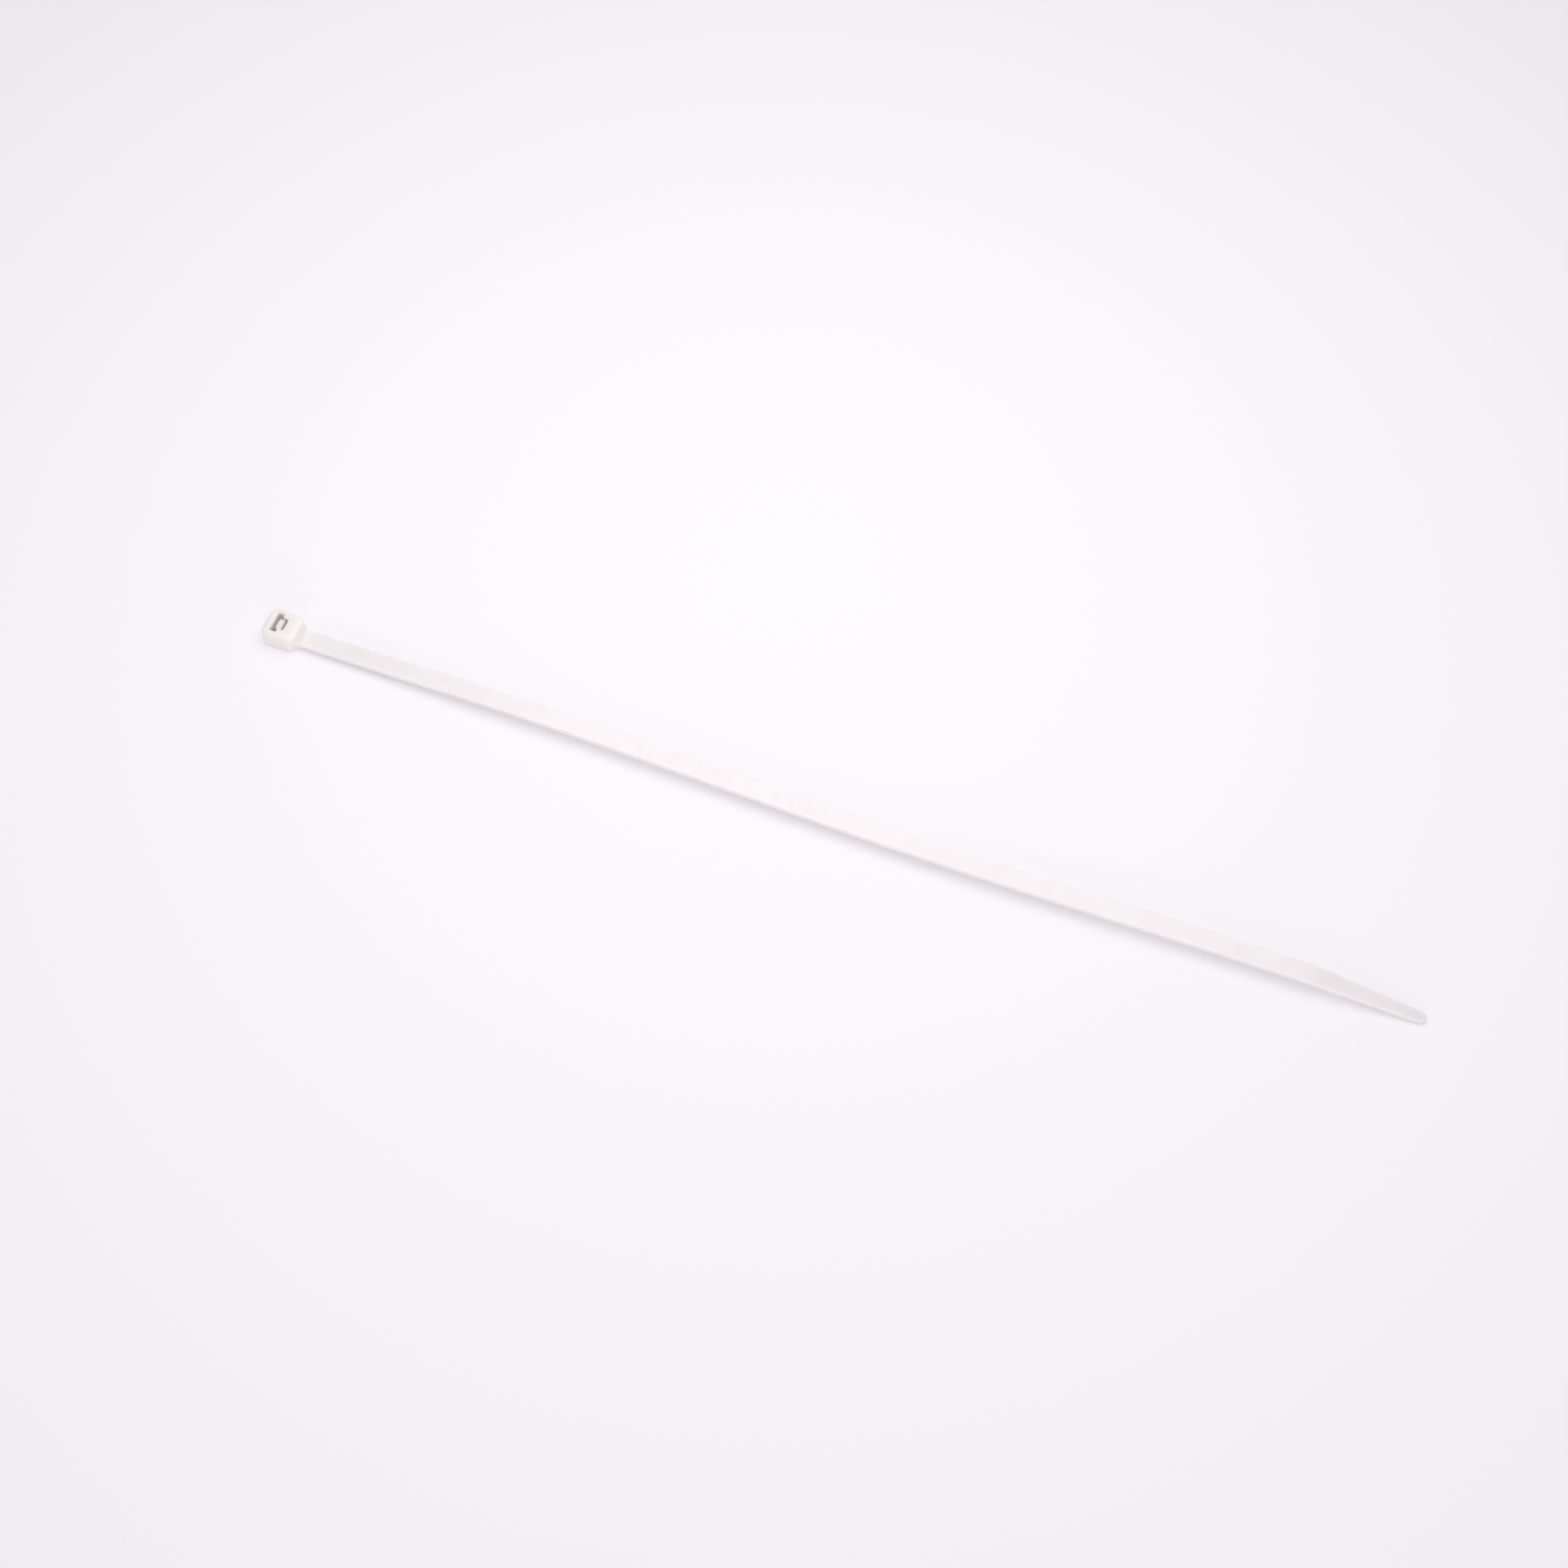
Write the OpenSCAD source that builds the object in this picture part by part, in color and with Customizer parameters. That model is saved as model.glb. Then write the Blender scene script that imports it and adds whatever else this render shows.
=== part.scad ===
// Cable tie: one moulded strip of natural nylon with a locking head.
// It lies at rest with the smooth side up, on the base of its head and the tip of its tail.
// X runs from the head to the tail, Y across the strap, and Z up from the surface it lies on.

/* [Strap] */
// Overall length, from the outer end of the head to the tip of the tail
total_length = 280; // [150:1:400]
// Width of the strap
strap_width = 4.7; // [4:0.1:6]
// Thickness of the strap at its side rails
strap_thickness = 1.3; // [1.2:0.05:1.6]
// Radius of the long edges on the smooth side
top_edge_radius = 0.32; // [0.1:0.02:0.45]
// Bevel of the long edges on the toothed side
low_edge_bevel = 0.12; // [0.05:0.01:0.2]

/* [Teeth] */
// Distance from one tooth to the next
tooth_pitch = 1.25; // [1.1:0.05:1.6]
// Height of a tooth from its root to its crest
tooth_height = 0.5; // [0.35:0.05:0.55]
// Flat length of a tooth's crest
crest_flat = 0.2; // [0.1:0.05:0.4]
// Depth of the crests below the side rails
crest_recess = 0.1; // [0.05:0.01:0.15]
// Width of each side rail beside the toothed track
rail_width = 0.75; // [0.5:0.05:1]
// Plain length of strap between the head and the first tooth
plain_root = 7; // [4:0.5:15]

/* [Tail] */
// Length of the tapered tail
tail_length = 26; // [18:1:40]
// Width of the tail where its round tip begins
tip_width = 2.8; // [2:0.1:3.5]
// Thickness of the tail at its tip
tip_thickness = 1.0; // [0.8:0.05:1.2]
// Number of grip grooves across the underside of the tail
grip_count = 7; // [3:1:9]
// Distance from one grip groove to the next
grip_pitch = 2.2; // [1.6:0.1:2.6]
// Radius of a grip groove
grip_radius = 0.5; // [0.4:0.05:0.7]
// Depth of a grip groove
grip_depth = 0.25; // [0.1:0.05:0.35]

/* [Head] */
// Height of the head, from its base to its top
head_height = 5.0; // [4.6:0.1:6.5]
// Wall between the slot and the outer end of the head
outer_wall = 2.1; // [1.6:0.1:2.8]
// Wall between the slot and each side of the head
side_wall = 1.45; // [1.2:0.05:2]
// Wall between the pawl's pocket and the strap
root_wall = 3.5; // [2.6:0.1:4.5]
// Radius of the head's upright corners
head_corner = 2.0; // [1.5:0.1:2.4]
// Radius of the head's upper edges
head_round = 1.3; // [1:0.05:1.5]
// Bevel round the base of the head
base_bevel = 0.3; // [0.1:0.05:0.5]
// Height of the shoulder where it leaves the head
shoulder_height = 3.8; // [3:0.1:4.1]
// Length of the shoulder that runs down from the head to the strap
shoulder_length = 0.9; // [0.6:0.1:3]
// Height of the strap's toothed side above the base of the head
root_lift = 0.95; // [0.5:0.05:1.2]

/* [Slot and pawl] */
// Clearance between the strap and the slot, through the strap's thickness
slot_clearance = 0.3; // [0.2:0.05:0.5]
// Clearance between the strap and the slot, on each side of the strap
slot_side_clearance = 0.2; // [0.1:0.05:0.3]
// How far the funnel widens the slot at the base of the head
funnel_flare = 0.5; // [0.2:0.05:0.7]
// Depth of the funnel
funnel_depth = 0.7; // [0.4:0.05:1]
// Bevel round the mouth of the slot at the top of the head
mouth_bevel = 0.25; // [0.1:0.05:0.3]
// Thickness of the pawl behind its teeth
pawl_thickness = 0.9; // [0.7:0.05:1.1]
// How deep the pawl's teeth reach between the teeth of the strap
pawl_bite = 0.4; // [0.2:0.05:0.5]
// Gap between the pawl and each side of the track, and of its pocket
pawl_side_gap = 0.2; // [0.1:0.05:0.3]
// Room behind the pawl for it to spring back
pawl_travel = 0.8; // [0.6:0.05:1.1]
// Depth of the pawl's tip below the top of the head
pawl_setback = 0.7; // [0.4:0.05:1]
// Height of the pawl's hinge above the base of the head
hinge_lift = 0.35; // [0.2:0.05:0.5]
// Thickness of the pawl's hinge
hinge_thickness = 0.8; // [0.6:0.05:1]

/* [Rest shape] */
// Height that the strap gains between the head and its raised middle
bow_rise = 1.7; // [0:0.1:3]
// Length over which the strap gains that height
bow_length = 65; // [30:1:90]
// Sag of the middle of the strap between its two raised stretches
bow_sag = 0.15; // [0:0.05:1]
// Length over which the strap bends down into the tail
tail_bend = 4; // [3:1:14]
// Sideways set of the strap as one half wave over its length
half_wave = -0.8; // [-1.5:0.05:1.5]
// Sideways set of the strap as two half waves
double_wave = 0.25; // [-1:0.05:1]
// Sideways set of the strap as three half waves
triple_wave = 0.35; // [-1:0.05:1]
// Sideways set of the strap as four half waves
fourfold_wave = -0.15; // [-1:0.05:1]

/* [Hidden] */
$fn = 32;
nylon = "ivory";

// Distance between sections along the strap and along its tail
strap_step = 4;
tail_step = 1.5;
// Segments in the round of the tip and in the round of each upper edge
tip_segments = 9;
edge_segments = 3;
// Segments in the round of the head's upper edges
round_segments = 8;
// Length by which a cut runs past a face, and by which joined forms sink into each other
over = 0.5;

// Head, measured along X from its outer end
slot_start = outer_wall;
slot_end = slot_start + strap_thickness + slot_clearance;
slot_width = strap_width + 2 * slot_side_clearance;
track_width = strap_width - 2 * rail_width;
pawl_width = track_width - 2 * pawl_side_gap;
pawl_crest = slot_start + strap_thickness - crest_recess - pawl_bite;
pawl_root = pawl_crest + tooth_height;
pawl_back = max(pawl_root + pawl_thickness, slot_end + pawl_thickness / 2);
pocket_end = pawl_back + pawl_travel;
pocket_width = pawl_width + 2 * pawl_side_gap;
pawl_tip = head_height - pawl_setback;
hinge_top = hinge_lift + hinge_thickness;
pawl_teeth = floor((pawl_tip - hinge_top) / tooth_pitch);
head_length = pocket_end + root_wall;
head_width = slot_width + 2 * side_wall;

// Strap, measured along X from the outer end of the head
neck = head_length + shoulder_length;
strap_start = pocket_end + root_wall / 2;
tail_start = total_length - tail_length;
tip_start = total_length - tip_width / 2;
first_tooth = neck + plain_root;
tooth_count = floor((tail_start - first_tooth) / tooth_pitch);
last_tooth = first_tooth + tooth_count * tooth_pitch;
tail_slope = (root_lift + bow_rise) / tail_length;

// Smooth step from 0 to 1
function ease(t) = let (c = min(max(t, 0), 1)) c * c * (3 - 2 * c);

// Height of the toothed side above the surface: up from the head, along, and down the tail
function bow(x) =
    root_lift
    + bow_rise * ease((x - neck) / bow_length)
    - bow_sag * pow(sin(180 * span(x)), 2)
    - tail_slope * bent(x - tail_start + tail_bend / 2);

// Length of a line that bends away smoothly over the tail's bend
function bent(d) = d <= 0 ? 0 : d < tail_bend ? d * d / (2 * tail_bend) : d - tail_bend / 2;

// Share of the strap's free length that lies between the head and x
function span(x) = min(max((x - neck) / (tail_start - neck), 0), 1);

// Sideways place of the middle of the strap
function sway(x) =
    let (a = 180 * min(max((x - neck) / (total_length - neck), 0), 1))
    half_wave * sin(a) + double_wave * sin(2 * a) + triple_wave * sin(3 * a) + fourfold_wave * sin(4 * a);

// Half of the width, tapering along the tail to a round tip
function half_width(x) =
    x <= tail_start ? strap_width / 2
    : x <= tip_start ? strap_width / 2 - (strap_width - tip_width) / 2 * taper(x)
    : sqrt(max(pow(tip_width / 2, 2) - pow(x - tip_start, 2), 0));
function taper(x) = (x - tail_start) / (tip_start - tail_start);
function thickness(x) =
    strap_thickness - (strap_thickness - tip_thickness) * min(max(taper(x), 0), 1);

// Places of the sections: along the strap, along the tail, and round the tip
strap_places = let (n = ceil((tail_start - strap_start) / strap_step))
    [for (i = [0:n - 1]) strap_start + i * (tail_start - strap_start) / n];
tail_places = let (n = ceil((tip_start - tail_start) / tail_step))
    [for (i = [0:n - 1]) tail_start + i * (tip_start - tail_start) / n];
tip_places = [for (i = [0:tip_segments - 1]) tip_start + tip_width / 2 * sin(90 * i / (tip_segments - 0.5))];
places = concat(strap_places, tail_places, tip_places);

// One section across the strap: a flat base with small bevels, and a top with rounded edges
function section(x) =
    let (
        w = half_width(x),
        t = thickness(x),
        r = min(top_edge_radius, w / 2),
        b = min(low_edge_bevel, w / 4),
        upper_right = [for (i = [0:edge_segments])
            let (a = 90 * i / edge_segments) [w - r + r * cos(a), t - r + r * sin(a)]],
        upper_left = [for (i = [edge_segments:-1:0]) [-upper_right[i][0], upper_right[i][1]]],
        loop = concat([[w - b, 0], [w, b]], upper_right, upper_left, [[-w, b], [b - w, 0]])
    )
    [for (p = loop) [x, sway(x) + p[0], bow(x) + p[1]]];

// The smooth strap, swept through its sections
module strap_blank() {
    sections = [for (x = places) section(x)];
    n = len(sections[0]);
    m = len(sections);
    walls = [for (i = [0:m - 2], j = [0:n - 1])
        let (a = i * n + j, b = i * n + (j + 1) % n) each [[a, a + n, b + n], [a, b + n, b]]];
    start_cap = [for (j = [0:n - 1]) j];
    end_cap = [for (j = [n - 1:-1:0]) (m - 1) * n + j];
    polyhedron(points = [for (s = sections) each s], faces = concat(walls, [start_cap, end_cap]));
}

// Plan of a band along the strap, as wide as the toothed track
module track_plan() {
    n = ceil((last_tooth - first_tooth) / strap_step);
    xs = [for (i = [0:n]) first_tooth + i * (last_tooth - first_tooth) / n];
    polygon(concat(
        [for (x = xs) [x, sway(x) - track_width / 2]],
        [for (i = [n:-1:0]) [xs[i], sway(xs[i]) + track_width / 2]]
    ));
}

// Side view of what the teeth leave open: each tooth faces the head steeply and slopes to the tail
module tooth_gaps_side() {
    gaps = [for (i = [0:tooth_count - 1])
        let (
            x = first_tooth + i * tooth_pitch,
            crest_end = x + crest_flat,
            next = x + tooth_pitch
        )
        each [
            [x, bow(x) + crest_recess],
            [crest_end, bow(crest_end) + crest_recess],
            [next, bow(next) + crest_recess + tooth_height]
        ]];
    below = [for (x = [last_tooth, (first_tooth + last_tooth) / 2, first_tooth]) [x, -over]];
    polygon(concat(gaps, below));
}

module tooth_gaps() {
    intersection() {
        rotate([90, 0, 0])
            linear_extrude(2 * head_width, center = true)
                tooth_gaps_side();
        translate([0, 0, -2 * over])
            linear_extrude(root_lift + bow_rise + strap_thickness + 2 * over)
                track_plan();
    }
}

// Round grooves across the underside of the tail, for the fingers
module grip_grooves() {
    first = (tail_start + tip_start - (grip_count - 1) * grip_pitch) / 2;
    for (i = [0:grip_count - 1]) {
        x = first + i * grip_pitch;
        translate([x, sway(x), bow(x) + grip_depth - grip_radius])
            rotate([90, 0, 0])
                cylinder(r = grip_radius, h = 2 * strap_width, center = true);
    }
}

module strap() {
    difference() {
        strap_blank();
        tooth_gaps();
        grip_grooves();
    }
}

// Round post in one corner of the head, with a rounded top and a bevelled foot
module corner_post() {
    foot = [[0, 0], [head_corner - base_bevel, 0], [head_corner, base_bevel]];
    upper_edge = [for (i = [0:round_segments])
        let (a = 90 * i / round_segments)
        [
            head_corner - head_round + head_round * cos(a),
            head_height - head_round + head_round * sin(a)
        ]];
    rotate_extrude()
        polygon(concat(foot, upper_edge, [[0, head_height]]));
}

// Solid outside of the head: four corner posts and all that lies between them
module head_block() {
    hull()
        for (x = [head_corner, head_length - head_corner], y = [-1, 1])
            translate([x, y * (head_width / 2 - head_corner), 0])
                corner_post();
}

// Shoulder that narrows from the head to the strap
module shoulder() {
    hull() {
        translate([strap_start, -(head_width - head_corner) / 2, base_bevel])
            cube([
                head_length - strap_start - base_bevel,
                head_width - head_corner,
                shoulder_height - base_bevel
            ]);
        translate([neck - base_bevel, -strap_width / 2, bow(neck) + low_edge_bevel])
            cube([base_bevel, strap_width, strap_thickness - low_edge_bevel - top_edge_radius]);
    }
}

// Block over the slot, as long and wide as asked at the foot and at the top
module funnel(low, high, grow_low, grow_high) {
    hull()
        for (end = [[low, grow_low], [high, grow_high]])
            translate([slot_start - end[1], -slot_width / 2 - end[1], end[0]])
                cube([slot_end - slot_start + 2 * end[1], slot_width + 2 * end[1], 0.01]);
}

// The way through the head: the slot, its funnel, its mouth, and the pocket for the pawl
module slot() {
    translate([slot_start, -slot_width / 2, -over])
        cube([slot_end - slot_start, slot_width, head_height + 2 * over]);
    funnel(-over, funnel_depth, funnel_flare * (1 + over / funnel_depth), 0);
    funnel(head_height - mouth_bevel, head_height + over, 0, mouth_bevel + over);
    translate([slot_end - over, -pocket_width / 2, hinge_lift])
        cube([pocket_end - slot_end + over, pocket_width, head_height]);
}

// Side view of the pawl: a springy tongue with teeth that face the top of the head
module pawl_side() {
    foot = pawl_tip - pawl_teeth * tooth_pitch;
    teeth = [for (i = [0:pawl_teeth - 1])
        each [
            [pawl_root, foot + i * tooth_pitch],
            [pawl_crest, foot + (i + 1) * tooth_pitch - crest_flat],
            [pawl_crest, foot + (i + 1) * tooth_pitch]
        ]];
    polygon(concat(
        [[pocket_end + over, hinge_lift - over / 2], [slot_end, hinge_lift - over / 2]],
        teeth,
        [[pawl_back, pawl_tip], [pawl_back, hinge_top + over], [pawl_back + over / 2, hinge_top]],
        [[pocket_end + over, hinge_top]]
    ));
}

module pawl() {
    rotate([90, 0, 0])
        linear_extrude(pawl_width, center = true)
            pawl_side();
}

module head() {
    difference() {
        union() {
            head_block();
            shoulder();
        }
        slot();
    }
    pawl();
}

module cable_tie() {
    color(nylon)
        translate([-total_length / 2, 0, 0]) {
            head();
            strap();
        }
}

cable_tie();
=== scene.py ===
"""Cable tie of natural nylon on a pale floor: the moulded surface, the floor, the light and the camera."""

import math

import bmesh
import bpy
import numpy as np
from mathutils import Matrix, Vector


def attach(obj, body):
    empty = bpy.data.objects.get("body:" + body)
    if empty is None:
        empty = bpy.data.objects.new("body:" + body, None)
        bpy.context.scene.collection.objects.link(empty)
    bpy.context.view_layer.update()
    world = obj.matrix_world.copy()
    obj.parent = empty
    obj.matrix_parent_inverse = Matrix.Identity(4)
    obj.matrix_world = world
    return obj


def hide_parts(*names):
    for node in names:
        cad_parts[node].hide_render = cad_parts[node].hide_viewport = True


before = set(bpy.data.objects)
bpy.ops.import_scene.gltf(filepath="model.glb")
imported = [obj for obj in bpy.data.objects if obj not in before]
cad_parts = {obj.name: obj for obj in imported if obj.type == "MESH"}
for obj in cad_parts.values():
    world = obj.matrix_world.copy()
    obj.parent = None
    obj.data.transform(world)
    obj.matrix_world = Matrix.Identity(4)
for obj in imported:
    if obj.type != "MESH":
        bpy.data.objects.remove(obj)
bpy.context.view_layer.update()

MM = 0.001

# Sizes of the tie in millimetres, as in the part's source. X runs from the head's outer end.
TOTAL_LENGTH = 280.0
STRAP_WIDTH = 4.7
STRAP_THICKNESS = 1.3
TOP_EDGE_RADIUS = 0.32
LOW_EDGE_RADIUS = 0.12

TOOTH_PITCH = 1.25
TOOTH_HEIGHT = 0.5
CREST_FLAT = 0.2
CREST_RECESS = 0.1
RAIL_WIDTH = 0.75
PLAIN_ROOT = 7.0

TAIL_LENGTH = 26.0
TIP_WIDTH = 2.8
TIP_THICKNESS = 1.0
GRIP_COUNT = 7
GRIP_PITCH = 2.2
GRIP_RADIUS = 0.5
GRIP_DEPTH = 0.25

HEAD_HEIGHT = 5.0
OUTER_WALL = 2.1
SIDE_WALL = 1.45
ROOT_WALL = 3.5
HEAD_CORNER = 2.0
HEAD_ROUND = 1.3
BASE_ROUND = 0.3
SHOULDER_HEIGHT = 3.8
SHOULDER_LENGTH = 0.9
ROOT_LIFT = 0.95

SLOT_CLEARANCE = 0.3
SLOT_SIDE_CLEARANCE = 0.2
FUNNEL_FLARE = 0.5
FUNNEL_DEPTH = 0.7
MOUTH_ROUND = 0.25
PAWL_THICKNESS = 0.9
PAWL_BITE = 0.4
PAWL_SIDE_GAP = 0.2
PAWL_TRAVEL = 0.8
PAWL_SETBACK = 0.7
HINGE_LIFT = 0.35
HINGE_THICKNESS = 0.8

BOW_RISE = 1.7
BOW_LENGTH = 65.0
BOW_SAG = 0.15
TAIL_BEND = 4.0
WAVES = (-0.8, 0.25, 0.35, -0.15)

# Places that follow from those sizes
SLOT_START = OUTER_WALL
SLOT_END = SLOT_START + STRAP_THICKNESS + SLOT_CLEARANCE
SLOT_WIDTH = STRAP_WIDTH + 2 * SLOT_SIDE_CLEARANCE
TRACK_WIDTH = STRAP_WIDTH - 2 * RAIL_WIDTH
PAWL_WIDTH = TRACK_WIDTH - 2 * PAWL_SIDE_GAP
PAWL_CREST = SLOT_START + STRAP_THICKNESS - CREST_RECESS - PAWL_BITE
PAWL_ROOT = PAWL_CREST + TOOTH_HEIGHT
PAWL_BACK = max(PAWL_ROOT + PAWL_THICKNESS, SLOT_END + PAWL_THICKNESS / 2)
POCKET_END = PAWL_BACK + PAWL_TRAVEL
POCKET_WIDTH = PAWL_WIDTH + 2 * PAWL_SIDE_GAP
PAWL_TIP = HEAD_HEIGHT - PAWL_SETBACK
HINGE_TOP = HINGE_LIFT + HINGE_THICKNESS
PAWL_TEETH = int((PAWL_TIP - HINGE_TOP) / TOOTH_PITCH)
HEAD_LENGTH = POCKET_END + ROOT_WALL
HEAD_WIDTH = SLOT_WIDTH + 2 * SIDE_WALL
NECK = HEAD_LENGTH + SHOULDER_LENGTH
STRAP_START = POCKET_END + ROOT_WALL / 2
TAIL_START = TOTAL_LENGTH - TAIL_LENGTH
TIP_START = TOTAL_LENGTH - TIP_WIDTH / 2
FIRST_TOOTH = NECK + PLAIN_ROOT
TOOTH_COUNT = int((TAIL_START - FIRST_TOOTH) / TOOTH_PITCH)
TAIL_SLOPE = (ROOT_LIFT + BOW_RISE) / TAIL_LENGTH

# Small rounds and fillets that the mould leaves, and how a tooth's steep face leans
SLOT_CORNER = 0.15
POCKET_ROUND = 0.1
PAWL_EDGE = 0.06
STRAP_FILLET = 0.3
SHOULDER_FILLET = 0.35
HINGE_FILLET_LENGTH = 0.25
HINGE_FILLET_HEIGHT = 0.5
TRACK_EDGE = 0.05
TOOTH_EDGE = 0.02
TOOTH_FACE_LEAN = 0.05

# How far the pawl's root reaches into the wall behind it
HINGE_DEPTH = 1.0

# How far the shoulder's slopes run on inside the strap, as a share of their length
SHOULDER_RUN = 1.6
SHOULDER_END = HEAD_LENGTH - BASE_ROUND + SHOULDER_RUN * (SHOULDER_LENGTH + BASE_ROUND)

# Height over the base's rounded edge at which the underside of the shoulder starts
SOLE_LIFT = 0.1

# Roughly the cosines of the shoulder's slopes, which turn heights over them into distances
ROOF_COSINE = 0.75
SOLE_COSINE = 0.9

# Where the head's surface hands over to the strap's, and the gap between them that triangles close
HANDOVER = NECK + 2.0
BRIDGE = 0.15

# Rings of points round the strap in its plain stretches: how many, or how far apart
ROOT_RINGS = 6
TAIL_RING_START = 0.2
TAIL_RING_STEP = 0.11
TIP_RINGS = 22

# Degrees of the round tip that its rings cover, and points on a rounded upper edge
TIP_TURN = (2, 88)
EDGE_POINTS = 5

# The flat faces of a section keep a point this close to each rounded edge, so that they shade flat
FACE_END = 0.05

# Points closer than this are one point: a section without a track has several at the track's edge
SAME_PLACE = 0.0001

SHARP_ANGLE = math.radians(60)


def add_object(name, data):
    made = bpy.data.objects.new(name, data)
    bpy.context.scene.collection.objects.link(made)
    return made


# Middle line of the strap, and its width and thickness along it

def ease(t):
    t = np.clip(t, 0, 1)
    return t * t * (3 - 2 * t)


def bow(x):
    """Height of the toothed side over the floor."""
    x = np.asarray(x, float)
    share = np.clip((x - NECK) / (TAIL_START - NECK), 0, 1)
    past = np.maximum(x - TAIL_START + TAIL_BEND / 2, 0)
    bent = np.where(past < TAIL_BEND, past ** 2 / (2 * TAIL_BEND), past - TAIL_BEND / 2)
    rise = BOW_RISE * ease((x - NECK) / BOW_LENGTH)
    return ROOT_LIFT + rise - BOW_SAG * np.sin(np.pi * share) ** 2 - TAIL_SLOPE * bent


def sway(x):
    """Sideways place of the middle of the strap."""
    angle = np.pi * np.clip((np.asarray(x, float) - NECK) / (TOTAL_LENGTH - NECK), 0, 1)
    return sum(size * np.sin((k + 1) * angle) for k, size in enumerate(WAVES))


def half_width(x):
    """Half the strap's width, down to nothing at the end of the round tip."""
    x = np.asarray(x, float)
    taper = np.clip((x - TAIL_START) / (TIP_START - TAIL_START), 0, 1)
    straight = STRAP_WIDTH / 2 - (STRAP_WIDTH - TIP_WIDTH) / 2 * taper
    round_tip = np.sqrt(np.maximum((TIP_WIDTH / 2) ** 2 - np.maximum(x - TIP_START, 0) ** 2, 0))
    return np.where(x > TIP_START, round_tip, straight)


def thickness(x):
    """Thickness of the strap, rounded down over the last of the tip."""
    x = np.asarray(x, float)
    taper = np.clip((x - TAIL_START) / (TIP_START - TAIL_START), 0, 1)
    plain = STRAP_THICKNESS - (STRAP_THICKNESS - TIP_THICKNESS) * taper
    short = TOP_EDGE_RADIUS - np.minimum(TOTAL_LENGTH - x, TOP_EDGE_RADIUS)
    return plain - TOP_EDGE_RADIUS + np.sqrt(np.maximum(TOP_EDGE_RADIUS ** 2 - short ** 2, 0))


# Head: a distance field whose edges and inner corners are rounded, as a mould leaves them

def both(a, b, r):
    """Where two solids overlap, with the edge between them rounded to the radius r."""
    u, v = a + r, b + r
    return np.minimum(np.maximum(u, v), 0) + np.hypot(np.maximum(u, 0), np.maximum(v, 0)) - r


def either(a, b, r):
    """Two solids joined with a fillet of the radius r."""
    return -both(-a, -b, r)


def without(a, b, r):
    """The first solid less the second, with rounded edges."""
    return both(a, -b, r)


def polygon_distance(px, pz, corners):
    """Signed distance to a closed outline, negative inside."""
    best = np.full(px.shape, np.inf)
    inside = np.zeros(px.shape, bool)
    for (ax, az), (bx, bz) in zip(corners, corners[1:] + corners[:1]):
        ex, ez = bx - ax, bz - az
        wx, wz = px - ax, pz - az
        t = np.clip((wx * ex + wz * ez) / (ex * ex + ez * ez), 0, 1)
        best = np.minimum(best, (wx - ex * t) ** 2 + (wz - ez * t) ** 2)
        if ez != 0:
            inside ^= ((az > pz) != (bz > pz)) & (px < ex * (pz - az) / ez + ax)
    return np.where(inside, -1, 1) * np.sqrt(best)


def pawl_outline():
    """Side view of the pawl: a springy tongue whose teeth face the top of the head."""
    foot = PAWL_TIP - PAWL_TEETH * TOOTH_PITCH
    root = POCKET_END + HINGE_DEPTH
    outline = [(root, HINGE_LIFT), (SLOT_END, HINGE_LIFT)]
    for i in range(PAWL_TEETH):
        low, high = foot + i * TOOTH_PITCH, foot + (i + 1) * TOOTH_PITCH
        outline += [(PAWL_ROOT, low), (PAWL_CREST, high - CREST_FLAT), (PAWL_CREST, high)]
    outline += [(PAWL_BACK, PAWL_TIP), (PAWL_BACK, HINGE_TOP + HINGE_FILLET_HEIGHT)]
    return outline + [(PAWL_BACK + HINGE_FILLET_LENGTH, HINGE_TOP), (root, HINGE_TOP)]


def slope_down(x, start, end):
    """Straight line from start at the rear of the head to end at the neck, and on into the strap."""
    share = (x - HEAD_LENGTH + BASE_ROUND) / (NECK - HEAD_LENGTH + BASE_ROUND)
    return start + (end - start) * np.clip(share, 0, SHOULDER_RUN)


def block_field(x, y, z):
    """The head's block, with round corners in plan and rounded top and base edges."""
    plan = both(abs(x - HEAD_LENGTH / 2) - HEAD_LENGTH / 2, abs(y) - HEAD_WIDTH / 2, HEAD_CORNER)
    return np.maximum(both(plan, z - HEAD_HEIGHT, HEAD_ROUND), both(plan, -z, BASE_ROUND))


def shoulder_field(x, y, z):
    """The slope from the rear of the head down to the strap."""
    under = float(bow(NECK))
    side = abs(y) - slope_down(x, (HEAD_WIDTH - HEAD_CORNER) / 2, STRAP_WIDTH / 2)
    roof = z - slope_down(x, SHOULDER_HEIGHT, under + STRAP_THICKNESS)
    sole = slope_down(x, BASE_ROUND + SOLE_LIFT, under) - z
    upper = both(side, ROOF_COSINE * roof, TOP_EDGE_RADIUS)
    shoulder = both(upper, SOLE_COSINE * sole, LOW_EDGE_RADIUS)
    return np.maximum(shoulder, np.maximum(x - SHOULDER_END, STRAP_START - x))


def strap_field(x, y, z):
    """The plain strap next to the head."""
    flank = abs(y - sway(x)) - STRAP_WIDTH / 2
    upper = both(flank, z - bow(x) - STRAP_THICKNESS, TOP_EDGE_RADIUS)
    lower = both(flank, bow(x) - z, LOW_EDGE_RADIUS)
    return np.maximum(np.maximum(upper, lower), STRAP_START - x)


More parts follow.
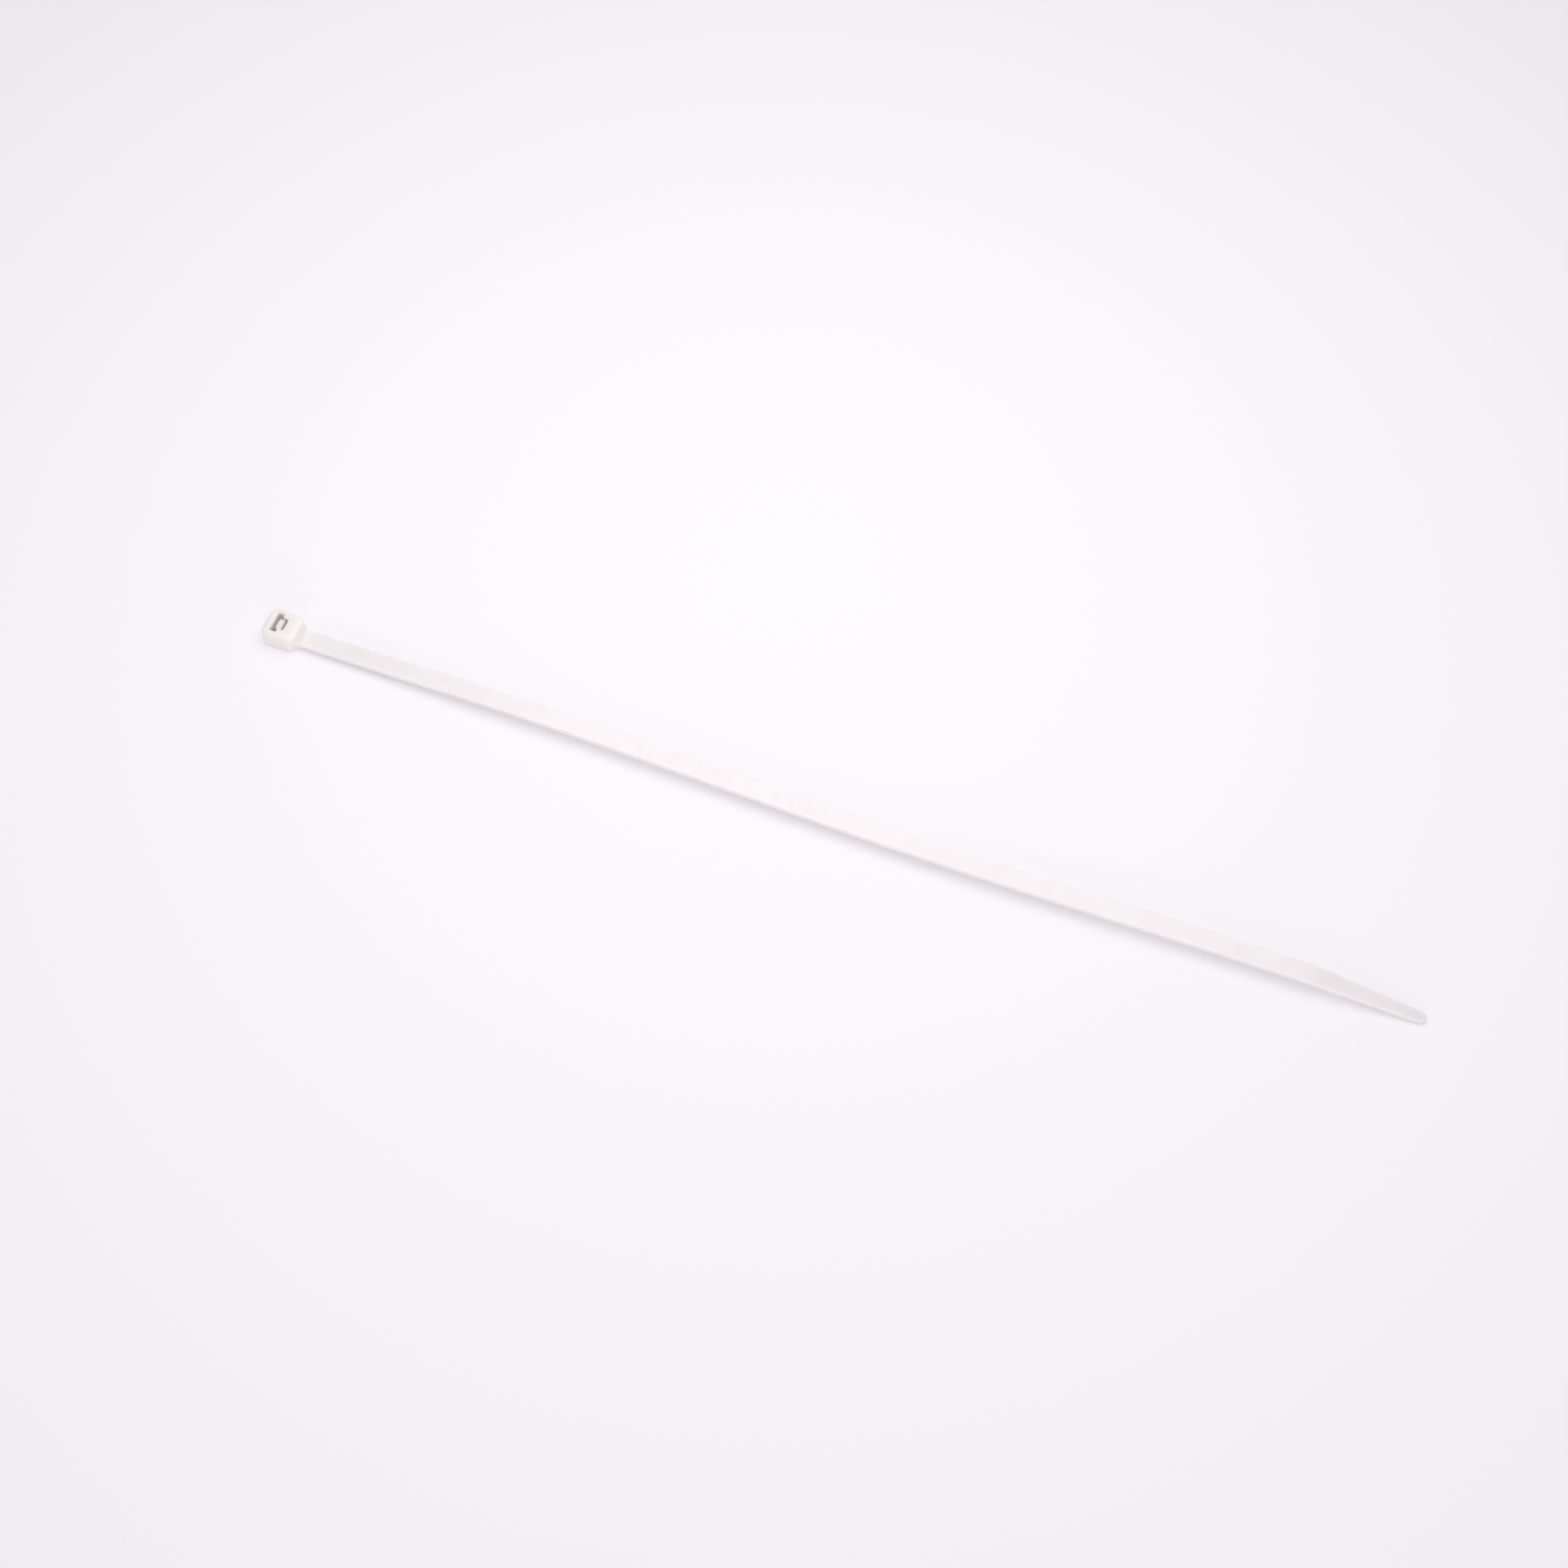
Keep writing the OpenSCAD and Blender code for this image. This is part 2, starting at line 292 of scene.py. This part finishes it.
def opening_field(x, y, z):
    """The slot with its funnel, and the pocket that the pawl bends into."""
    flare = FUNNEL_FLARE * np.clip(1 - z / FUNNEL_DEPTH, 0, 1)
    slot_x = abs(x - (SLOT_START + SLOT_END) / 2) - (SLOT_END - SLOT_START) / 2
    slot = both(slot_x, abs(y) - SLOT_WIDTH / 2, SLOT_CORNER) - flare
    pocket_x = np.maximum(x - POCKET_END, SLOT_START - x)
    pocket = both(pocket_x, abs(y) - POCKET_WIDTH / 2, SLOT_CORNER)
    return np.minimum(slot, both(pocket, HINGE_LIFT - z, POCKET_ROUND))


def head_field(x, y, z):
    """Signed distance to the surface of the head and the root of the strap."""
    root = either(shoulder_field(x, y, z), strap_field(x, y, z), STRAP_FILLET)
    solid = either(block_field(x, y, z), root, SHOULDER_FILLET)
    solid = without(solid, opening_field(x, y, z), MOUTH_ROUND)
    pawl = both(polygon_distance(x, z, pawl_outline()), abs(y) - PAWL_WIDTH / 2, PAWL_EDGE)
    return either(solid, pawl, PAWL_EDGE)


def grid_lines(start, *zones):
    """Grid lines from start on, through zones that are each given as an end and a spacing."""
    lines = [start]
    for end, spacing in zones:
        count = max(round((end - lines[-1]) / spacing), 1)
        lines += list(np.linspace(lines[-1], end, count + 1)[1:])
    return np.array(lines)


def head_grid():
    """Grid lines over the head, closest where it has its finest edges and gaps.

    Each zone ends a little off the place that it is measured from, so that no line lies in a flat face.
    """
    x = grid_lines(
        -0.137,
        (SLOT_START - 0.35, 0.13),
        (POCKET_END + 0.25, 0.065),
        (HEAD_LENGTH - 0.65, 0.16),
        (HANDOVER, 0.1),
    )
    right = grid_lines(
        0.1,
        (PAWL_WIDTH / 2 - 0.12, 0.2),
        (POCKET_WIDTH / 2 + 0.17, 0.055),
        (STRAP_WIDTH / 2 - 0.25, 0.11),
        (SLOT_WIDTH / 2 + 0.3, 0.07),
        (HEAD_WIDTH / 2 - 0.35, 0.13),
        (HEAD_WIDTH / 2 + 0.14, 0.08),
    )
    z = grid_lines(
        -0.133,
        (BASE_ROUND + 0.13, 0.07),
        (FUNNEL_DEPTH + 0.5, 0.09),
        (PAWL_TIP - 0.1, 0.1),
        (HEAD_HEIGHT + 0.12, 0.075),
    )
    return x, np.concatenate([-right[::-1], right]), z


def net_surface(field, axes):
    """Quads over a field's zero surface: one corner in each grid cell that the surface crosses."""
    values = field(*np.meshgrid(*axes, indexing="ij"))
    cells = tuple(len(lines) - 1 for lines in axes)

    # Mean place, in each cell, of the points where its edges cross the surface
    total = np.zeros(cells + (3,))
    hits = np.zeros(cells)
    crossings = []
    for axis in range(3):
        start = [slice(None)] * 3
        stop = [slice(None)] * 3
        start[axis], stop[axis] = slice(0, -1), slice(1, None)
        a, b = values[tuple(start)], values[tuple(stop)]
        crossed = (a < 0) != (b < 0)
        crossings.append((crossed, a < 0))
        share = np.where(crossed, a / np.where(crossed, a - b, 1), 0)
        others = [k for k in range(3) if k != axis]
        for i in (0, 1):
            for j in (0, 1):
                pick = [slice(None)] * 3
                pick[others[0]] = slice(i, i + cells[others[0]])
                pick[others[1]] = slice(j, j + cells[others[1]])
                part = crossed[tuple(pick)]
                hits += part
                total[..., axis] += np.where(part, share[tuple(pick)], 0)
                total[..., others[0]] += part * i
                total[..., others[1]] += part * j
    used = hits > 0
    index = np.full(cells, -1)
    index[used] = np.arange(used.sum())
    place = np.argwhere(used) + total[used] / hits[used][:, None]
    columns = [np.interp(p, range(len(lines)), lines) for p, lines in zip(place.T, axes)]
    points = np.stack(columns, 1)

    # A quad round every edge that crosses the surface
    corners = ((1, 1), (0, 1), (0, 0), (1, 0))
    quads = []
    for axis, (crossed, inside) in enumerate(crossings):
        b, c = (axis + 1) % 3, (axis + 2) % 3
        at = np.argwhere(crossed)
        ok = (at[:, b] > 0) & (at[:, c] > 0) & (at[:, b] < cells[b]) & (at[:, c] < cells[c])
        at = at[ok]
        step_b, step_c = np.eye(3, dtype=int)[b], np.eye(3, dtype=int)[c]
        ring = [index[tuple((at - m * step_b - n * step_c).T)] for m, n in corners]
        quad = np.stack(ring, 1)
        flip = ~inside[tuple(at.T)]
        quad[flip] = quad[flip][:, ::-1]
        quads.append(quad)
    return points, np.concatenate(quads)


def settle(field, points, rounds=2, reach=0.02, longest=0.04, flattest=0.25):
    """Moves points onto the zero surface along the field's slope."""
    for _ in range(rounds):
        value = field(*points.T)
        slope = np.stack([
            (field(*(points + step).T) - field(*(points - step).T)) / (2 * reach)
            for step in np.eye(3) * reach
        ], 1)
        size = np.maximum((slope ** 2).sum(1), flattest)
        points = points - np.clip(value / size, -longest, longest)[:, None] * slope
    return points


# Strap: a section swept along the middle line, with the toothed track cut into its underside

def tooth_stations():
    """Places and depths of the track over one tooth, from its steep face to the next one's."""
    root = CREST_RECESS + TOOTH_HEIGHT
    return [
        (0.0, root - TOOTH_EDGE),
        (TOOTH_FACE_LEAN - TOOTH_EDGE, root - 4 * TOOTH_EDGE),
        (TOOTH_FACE_LEAN, CREST_RECESS + 3 * TOOTH_EDGE),
        (TOOTH_FACE_LEAN + 2 * TOOTH_EDGE, CREST_RECESS),
        (CREST_FLAT + 2 * TOOTH_EDGE, CREST_RECESS + TOOTH_EDGE / 2),
        (TOOTH_PITCH - 3 * TOOTH_EDGE, root - 1.5 * TOOTH_EDGE),
    ]


def grip_lift(x):
    """How far a grip groove lifts the underside of the tail at x."""
    first = (TAIL_START + TIP_START - (GRIP_COUNT - 1) * GRIP_PITCH) / 2
    gap = min(abs(x - first - i * GRIP_PITCH) for i in range(GRIP_COUNT))
    if gap >= GRIP_RADIUS:
        return 0.0
    return max(math.sqrt(GRIP_RADIUS ** 2 - gap ** 2) - GRIP_RADIUS + GRIP_DEPTH, 0.0)


def stations():
    """Places along the strap, each with the depth of its track."""
    plain = np.linspace(HANDOVER + BRIDGE, FIRST_TOOTH - TOOTH_EDGE / 2, ROOT_RINGS)
    places = [(x, 0.0) for x in plain]
    for i in range(TOOTH_COUNT):
        start = FIRST_TOOTH + i * TOOTH_PITCH
        for offset, depth in tooth_stations():
            if i > 0 or offset > 0:
                places.append((start + offset, depth))
    last = FIRST_TOOTH + TOOTH_COUNT * TOOTH_PITCH
    places += [(last, CREST_RECESS + TOOTH_HEIGHT), (last + TOOTH_EDGE, 0.0)]
    places += [(x, 0.0) for x in np.arange(last + TAIL_RING_START, TIP_START, TAIL_RING_STEP)]
    for angle in np.radians(np.linspace(*TIP_TURN, TIP_RINGS)):
        places.append((TIP_START + TIP_WIDTH / 2 * math.sin(angle), 0.0))
    return places


def half_section(w, t, depth, lift):
    """Right half of a section, from the middle of the top to the middle of the track."""
    r = min(TOP_EDGE_RADIUS, w / 2, t / 2)
    b = min(LOW_EDGE_RADIUS, w / 4)
    track = TRACK_WIDTH / 2 * min(w / (STRAP_WIDTH / 2), 1)
    soft = min(TRACK_EDGE, depth / 2)
    near = min(FACE_END, w / 8)
    points = [(0, t), (w - r - near, t)]
    for angle in np.radians(np.linspace(0, 90, EDGE_POINTS)):
        points.append((w - r + r * math.sin(angle), t - r + r * math.cos(angle)))
    points += [(w, t - r - near), (w, lift + b + near), (w, lift + b)]
    # About the middle of the quarter circle of the low edge
    inset = 0.3 * b
    points += [(w - inset, lift + inset), (w - b, lift), (w - b - near, lift)]
    points += [(track + soft, lift), (track, lift + soft), (track, lift + depth - soft)]
    return points + [(track - soft, lift + depth), (0, lift + depth)]


def strap_surface():
    """Rings of points along the strap, the quads between them and the points in a ring."""
    rings = []
    for x, depth in stations():
        half = half_section(float(half_width(x)), float(thickness(x)), depth, grip_lift(x))
        loop = half + [(-y, z) for y, z in half[-2:0:-1]]
        rings.append([(x, float(sway(x)) + y, float(bow(x)) + z) for y, z in loop])
    rings = np.array(rings)
    m, n = rings.shape[:2]
    i, j = np.meshgrid(np.arange(m - 1), np.arange(n), indexing="ij")
    a, b = i * n + j, i * n + (j + 1) % n
    quads = np.stack([a, b, b + n, a + n], -1).reshape(-1, 4)
    return rings.reshape(-1, 3), quads, n


# The two surfaces joined

def open_loop(quads):
    """Corners of the edges that only one quad uses."""
    edges = np.concatenate([quads[:, [k, (k + 1) % 4]] for k in range(4)])
    key, count = np.unique(np.sort(edges, axis=1), axis=0, return_counts=True)
    return np.unique(key[count == 1])


def by_angle(points, ids, centre):
    """The ids in order round the section's middle, with the angle of each."""
    y, z = points[ids][:, 1] - centre[0], points[ids][:, 2] - centre[1]
    turn = np.arctan2(z / STRAP_THICKNESS, y / STRAP_WIDTH)
    order = np.argsort(turn)
    return ids[order], turn[order]


def zip_loops(first, first_turn, second, second_turn):
    """Triangles between two loops that run the same way round."""
    faces = []
    i = j = 0
    while i < len(first) or j < len(second):
        next_i = first_turn[i + 1] if i + 1 < len(first) else np.pi + (i + 1 - len(first))
        next_j = second_turn[j + 1] if j + 1 < len(second) else np.pi + (j + 1 - len(second))
        a, b = first[i % len(first)], second[j % len(second)]
        if j >= len(second) or (i < len(first) and next_i <= next_j):
            faces.append((a, first[(i + 1) % len(first)], b))
            i += 1
        else:
            faces.append((a, second[(j + 1) % len(second)], b))
            j += 1
    return faces


def moulded_tie():
    """The whole tie as one closed mesh."""
    head_points, head_quads = net_surface(head_field, head_grid())
    head_points = settle(head_field, head_points)
    strap_points, strap_quads, ring = strap_surface()

    shift = len(head_points)
    points = np.concatenate([head_points, strap_points])
    centre = (float(sway(HANDOVER)), float(bow(HANDOVER)) + STRAP_THICKNESS / 2)
    inner = by_angle(points, open_loop(head_quads), centre)
    outer = by_angle(points, shift + np.arange(ring), centre)
    bridge = zip_loops(*inner, *outer)
    tip = [tuple(range(len(points) - ring, len(points)))]

    points = (points - np.array([TOTAL_LENGTH / 2, 0, 0])) * MM
    faces = head_quads.tolist() + (strap_quads + shift).tolist() + bridge + tip
    mesh = bpy.data.meshes.new("moulded_tie")
    mesh.from_pydata(points.tolist(), [], faces)
    shape = bmesh.new()
    shape.from_mesh(mesh)
    bmesh.ops.remove_doubles(shape, verts=shape.verts, dist=SAME_PLACE * MM)
    bmesh.ops.recalc_face_normals(shape, faces=shape.faces)
    shape.to_mesh(mesh)
    shape.free()
    mesh.polygons.foreach_set("use_smooth", [True] * len(mesh.polygons))
    mesh.set_sharp_from_angle(angle=SHARP_ANGLE)
    return add_object("moulded_tie", mesh)


# Natural nylon: milky, slightly see-through, with the satin skin of a mould

CREAM_DEEP = (0.948, 0.862, 0.835, 1)
CREAM_PALE = (0.973, 0.888, 0.86, 1)
THIN_TINT = (0.908, 0.947, 0.99, 1)
SCATTER = 1.0 * MM
GLOSS = (0.26, 0.36)

# Colour sockets of a Mix node, by number, because their names repeat for each kind of data
MIX_SHARE = 0
MIX_FIRST = 6
MIX_SECOND = 7
MIX_RESULT = 2


def node(tree, kind, values=None, **settings):
    made = tree.nodes.new(kind)
    for name, value in settings.items():
        setattr(made, name, value)
    for name, value in (values or {}).items():
        made.inputs[name].default_value = value
    return made


def new_material(name):
    """A material without nodes but its output, with its node tree and that output."""
    material = bpy.data.materials.new(name)
    material.use_nodes = True
    tree = material.node_tree
    tree.nodes.clear()
    return material, tree, node(tree, "ShaderNodeOutputMaterial")


def nylon():
    material, tree, out = new_material("natural_nylon")
    link = tree.links.new
    skin = node(tree, "ShaderNodeBsdfPrincipled", {
        "IOR": 1.53,
        "Subsurface Weight": 1.0,
        "Subsurface Radius": (1.0, 1.0, 1.0),
        "Subsurface Scale": SCATTER,
    })
    where = node(tree, "ShaderNodeTexCoord")

    # Cloudy cream of the resin, a few millimetres across, that turns cooler where the moulding is thin
    cloud = node(tree, "ShaderNodeTexNoise", {"Scale": 180.0, "Detail": 3.0, "Roughness": 0.55})
    cream = node(tree, "ShaderNodeValToRGB")
    deep, pale = cream.color_ramp.elements
    deep.position, deep.color = 0.3, CREAM_DEEP
    pale.position, pale.color = 0.7, CREAM_PALE
    along = node(tree, "ShaderNodeSeparateXYZ")
    thin = node(tree, "ShaderNodeMapRange", {
        "From Min": (HEAD_LENGTH - HEAD_ROUND - TOTAL_LENGTH / 2) * MM,
        "From Max": (HANDOVER - TOTAL_LENGTH / 2) * MM,
    })
    tone = node(tree, "ShaderNodeMix", {MIX_SECOND: THIN_TINT}, data_type="RGBA", blend_type="MULTIPLY")
    link(where.outputs["Object"], cloud.inputs["Vector"])
    link(where.outputs["Object"], along.inputs["Vector"])
    link(cloud.outputs["Fac"], cream.inputs["Fac"])
    link(along.outputs["X"], thin.inputs["Value"])
    link(thin.outputs["Result"], tone.inputs[MIX_SHARE])
    link(cream.outputs["Color"], tone.inputs[MIX_FIRST])
    link(tone.outputs[MIX_RESULT], skin.inputs["Base Color"])

    # Gloss that varies a little from place to place
    haze = node(tree, "ShaderNodeTexNoise", {"Scale": 420.0, "Detail": 4.0, "Roughness": 0.6})
    gloss = node(tree, "ShaderNodeMapRange", {"To Min": GLOSS[0], "To Max": GLOSS[1]})
    link(where.outputs["Object"], haze.inputs["Vector"])
    link(haze.outputs["Fac"], gloss.inputs["Value"])
    link(gloss.outputs["Result"], skin.inputs["Roughness"])

    # Fine grain of the mould over slow sink and flow ripples
    grain = node(tree, "ShaderNodeTexNoise", {"Scale": 5200.0, "Detail": 2.0, "Roughness": 0.5})
    ripple = node(tree, "ShaderNodeTexNoise", {"Scale": 260.0, "Detail": 2.0, "Roughness": 0.4})
    fine = node(tree, "ShaderNodeBump", {"Strength": 0.16, "Distance": 0.02 * MM})
    slow = node(tree, "ShaderNodeBump", {"Strength": 0.35, "Distance": 0.05 * MM})
    link(where.outputs["Object"], grain.inputs["Vector"])
    link(where.outputs["Object"], ripple.inputs["Vector"])
    link(grain.outputs["Fac"], fine.inputs["Height"])
    link(ripple.outputs["Fac"], slow.inputs["Height"])
    link(slow.outputs["Normal"], fine.inputs["Normal"])
    link(fine.outputs["Normal"], skin.inputs["Normal"])

    link(skin.outputs["BSDF"], out.inputs["Surface"])
    return material


# Floor, light and camera, in metres

FLOOR_COLOUR = (0.975, 0.935, 0.985, 1)
FLOOR_HALF = 3.0

# Part of the floor's look that is flat colour and not lit surface
FLAT_SHARE = 0.43

# The lamps stand away from the middle of the photo, towards its top, and up from the floor
WORLD_STRENGTH = 0.49
KEY_ENERGY = 0.75
KEY_SIZE = 0.4
KEY_AWAY = 0.07
KEY_HEIGHT = 0.33
FILL_ENERGY = 1.9
FILL_SIZE = 0.6
FILL_AWAY = -0.9
FILL_HEIGHT = 0.25

# Camera, from the tie's outline in the photo. TIE_ values place the tie from the photo's middle.
CAMERA_DISTANCE = 666.9 * MM
CAMERA_ELEVATION = math.radians(59.3)
FIELD_OF_VIEW = math.radians(30)
CLIP_START = 0.01
TIE_TURN = math.radians(21.4)
TIE_RIGHT = 9.2 * MM
TIE_AWAY = -8.9 * MM


def from_photo(right, away, up):
    """The place right, away and up from the floor in the photo's middle, in the tie's own frame."""
    right, away = right - TIE_RIGHT, away - TIE_AWAY
    c, s = math.cos(TIE_TURN), math.sin(TIE_TURN)
    return Vector((c * right - s * away, s * right + c * away, up))


def aim(thing, place):
    """Puts a camera or lamp at the place, facing the floor in the photo's middle."""
    thing.location = place
    thing.rotation_euler = (from_photo(0, 0, 0) - place).to_track_quat("-Z", "Y").to_euler()


def add_camera():
    data = bpy.data.cameras.new("camera")
    data.sensor_fit = "HORIZONTAL"
    data.angle = FIELD_OF_VIEW
    data.clip_start = CLIP_START
    camera = add_object("camera", data)
    back = CAMERA_DISTANCE * math.cos(CAMERA_ELEVATION)
    aim(camera, from_photo(0, -back, CAMERA_DISTANCE * math.sin(CAMERA_ELEVATION)))
    bpy.context.scene.camera = camera


def pale_floor():
    """White floor that cameras and mirrors see partly as flat colour, so that its shadows stay pale."""
    material, tree, out = new_material("pale_floor")
    link = tree.links.new
    mix = node(tree, "ShaderNodeMixShader")
    lit = node(tree, "ShaderNodeBsdfDiffuse", {"Color": FLOOR_COLOUR})
    flat = node(tree, "ShaderNodeEmission", {"Color": FLOOR_COLOUR})
    rays = node(tree, "ShaderNodeLightPath")
    seen = node(tree, "ShaderNodeMath", operation="MAXIMUM")
    seen_through = node(tree, "ShaderNodeMath", operation="MAXIMUM")
    share = node(tree, "ShaderNodeMath", {1: FLAT_SHARE}, operation="MULTIPLY")
    link(rays.outputs["Is Camera Ray"], seen.inputs[0])
    link(rays.outputs["Is Glossy Ray"], seen.inputs[1])
    link(seen.outputs[0], seen_through.inputs[0])
    link(rays.outputs["Is Transmission Ray"], seen_through.inputs[1])
    link(seen_through.outputs[0], share.inputs[0])
    link(share.outputs[0], mix.inputs[0])
    link(lit.outputs[0], mix.inputs[1])
    link(flat.outputs[0], mix.inputs[2])
    link(mix.outputs[0], out.inputs["Surface"])
    return material


def add_floor():
    h = FLOOR_HALF
    mesh = bpy.data.meshes.new("floor")
    mesh.from_pydata([(-h, -h, 0), (h, -h, 0), (h, h, 0), (-h, h, 0)], [], [(0, 1, 2, 3)])
    floor = add_object("floor", mesh)
    mesh.materials.append(pale_floor())


def add_disk(name, size, energy, place):
    """A round lamp at the place."""
    data = bpy.data.lights.new(name, "AREA")
    data.shape = "DISK"
    data.size = size
    data.energy = energy
    aim(add_object(name, data), place)


def add_light():
    """Even light from all round, a key nearly overhead and a weak fill from the photo's near side."""
    world = bpy.data.worlds.new("studio")
    world.use_nodes = True
    sky = world.node_tree.nodes["Background"]
    sky.inputs["Color"].default_value = (1, 1, 1, 1)
    sky.inputs["Strength"].default_value = WORLD_STRENGTH
    bpy.context.scene.world = world
    add_disk("key", KEY_SIZE, KEY_ENERGY, from_photo(0, KEY_AWAY, KEY_HEIGHT))
    add_disk("fill", FILL_SIZE, FILL_ENERGY, from_photo(0, FILL_AWAY, FILL_HEIGHT))


tie = moulded_tie()
tie.data.materials.append(nylon())
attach(tie, "root")
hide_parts("cable_tie")
add_floor()
add_light()
add_camera()
bpy.context.scene.view_settings.view_transform = "Standard"
